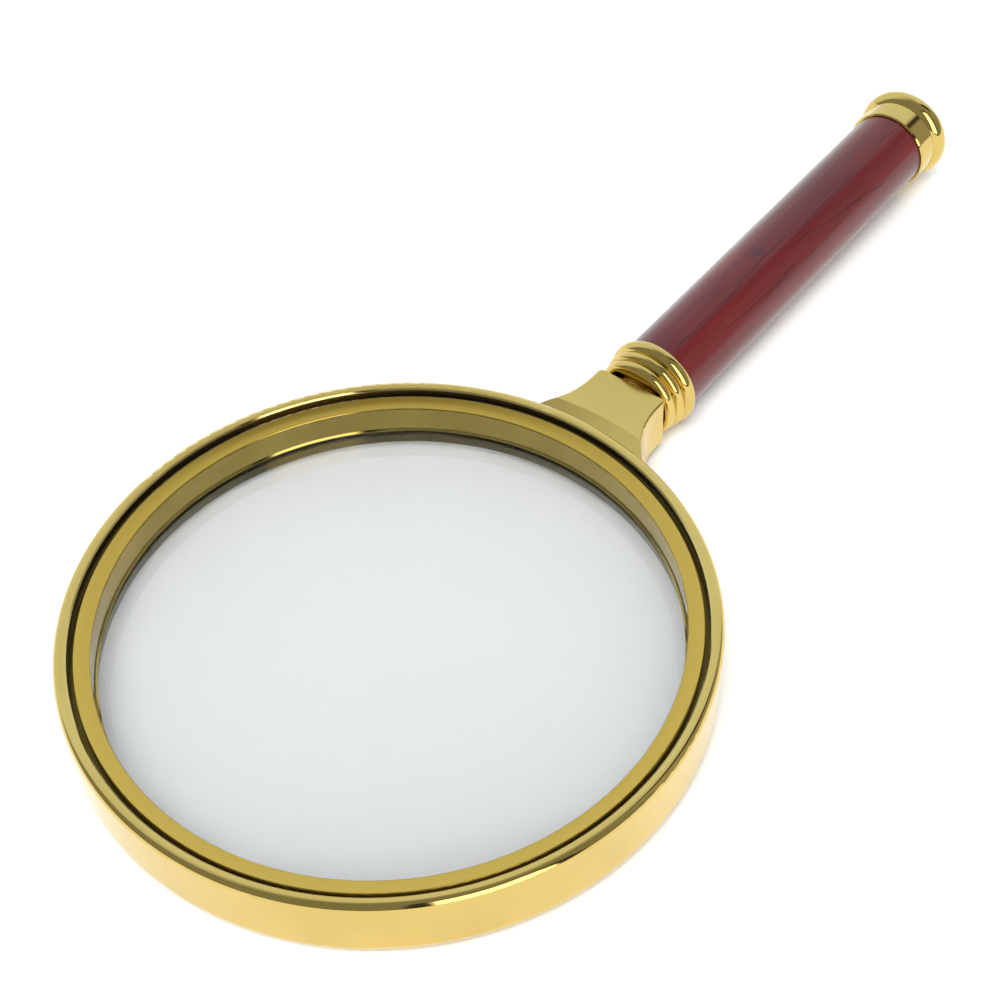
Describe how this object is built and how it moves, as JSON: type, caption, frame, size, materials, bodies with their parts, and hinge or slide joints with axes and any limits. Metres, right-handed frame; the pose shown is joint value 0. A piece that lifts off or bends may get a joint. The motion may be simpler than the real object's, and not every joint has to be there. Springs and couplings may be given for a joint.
{
  "type": "magnifying glass",
  "caption": "Hand-held magnifying glass: biconvex lens held in a gold-plated round rim by a bezel ring, with a red rosewood-look handle that unscrews from the neck",
  "frame": {"origin": "the optical centre of the lens: on the lens axis, midway between its two faces", "axes": "+X runs along the handle towards its end cap; +Z is the lens axis, out of the face with the bezel ring; +Y completes a right-handed frame"},
  "size_m": [0.226, 0.109, 0.0192],
  "materials": {
    "gold_plate": "polished gold plating on a zinc or brass casting",
    "bezel_gold": "satin gold plating",
    "optical_glass": "clear, polished both faces, faint green edge",
    "cushion_rubber": "matt black",
    "stud_steel": "zinc-plated, cut thread",
    "rosewood": "glossy lacquer over a dark red imitation rosewood grain"
  },
  "bodies": {
    "head": {"lens_frame": "gold_plate", "lens": "optical_glass", "lens_cushion": "cushion_rubber", "bezel_ring": "bezel_gold"},
    "washer": {"seat_washer": "gold_plate"},
    "handle": {"stud": "stud_steel", "ferrule": "gold_plate", "grip": "rosewood", "end_cap": "gold_plate"}
  },
  "joints": [
    {"name": "handle_travel", "type": "slide", "parent": "head", "child": "washer", "axis": [1, 0, 0], "range_m": [0, 0.01]},
    {"name": "handle_spin", "type": "hinge", "parent": "washer", "child": "handle", "pos_m": [0.0694, 0, 0.0005], "axis": [1, 0, 0], "range_deg": [0, 3601]}
  ],
  "couplings": [
    {"joint": "handle_spin", "follows": "handle_travel", "rad_per_m": 6283.2}
  ]
}
